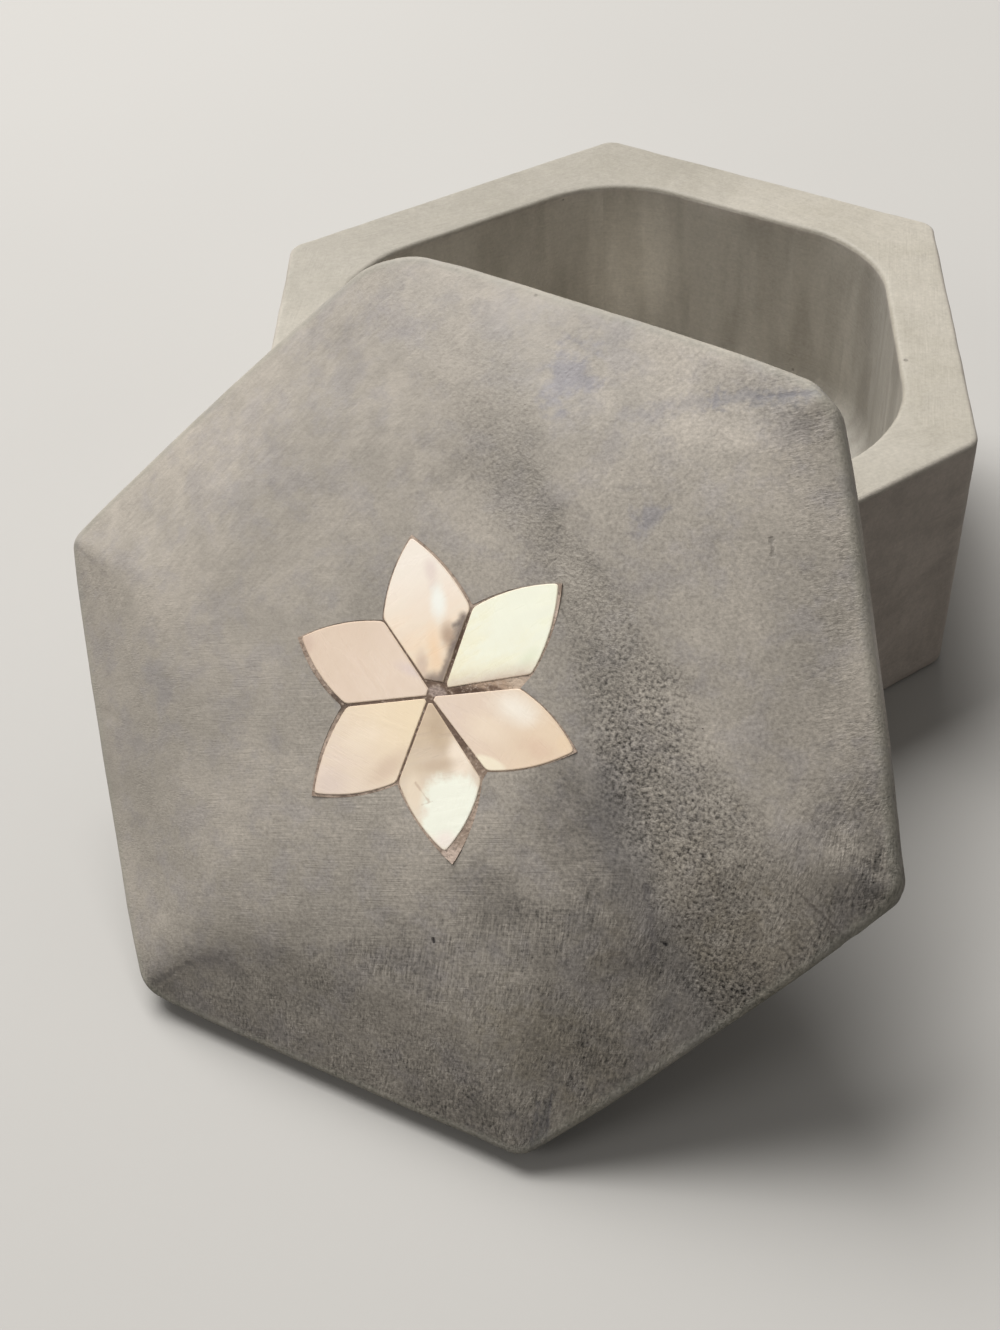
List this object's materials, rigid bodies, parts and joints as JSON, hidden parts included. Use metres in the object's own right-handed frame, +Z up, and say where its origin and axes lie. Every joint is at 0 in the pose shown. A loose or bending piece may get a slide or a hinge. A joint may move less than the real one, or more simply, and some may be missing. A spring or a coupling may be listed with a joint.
{
  "type": "trinket box",
  "caption": "Hexagonal soapstone trinket box standing open, with its domed lid, inlaid with a shell petal flower, leaning on the rim.",
  "frame": {"origin": "centre of the box body's underside, on the surface that it stands on", "axes": "+Z up, out of the cavity's mouth; -Y towards the viewer; the back corner of the hexagon lies on +Y, and the lid leans on the front-left side"},
  "size_m": [0.0808, 0.1098, 0.0481],
  "materials": {
    "box_stone": "sanded soapstone, pale and satin on the rim, greyer on the walls and in the cavity",
    "lid_stone": "sanded soapstone, warm grey, speckled and clouded, with fine sanding scratches",
    "shell": "polished mother of pearl, iridescent",
    "cement": "dark brown resin cement, satin"
  },
  "bodies": {
    "box": {"box_body": "box_stone"},
    "cover": {"lid": "lid_stone", "inlay_cement": "cement", "petal_1": "shell", "petal_2": "shell", "petal_3": "shell", "petal_4": "shell", "petal_5": "shell", "petal_6": "shell"}
  },
  "joints": [
    {"name": "lid_lift", "type": "slide", "parent": "box", "child": "cover", "axis": [0, 0, 1], "range_m": [0, 0.03]}
  ]
}
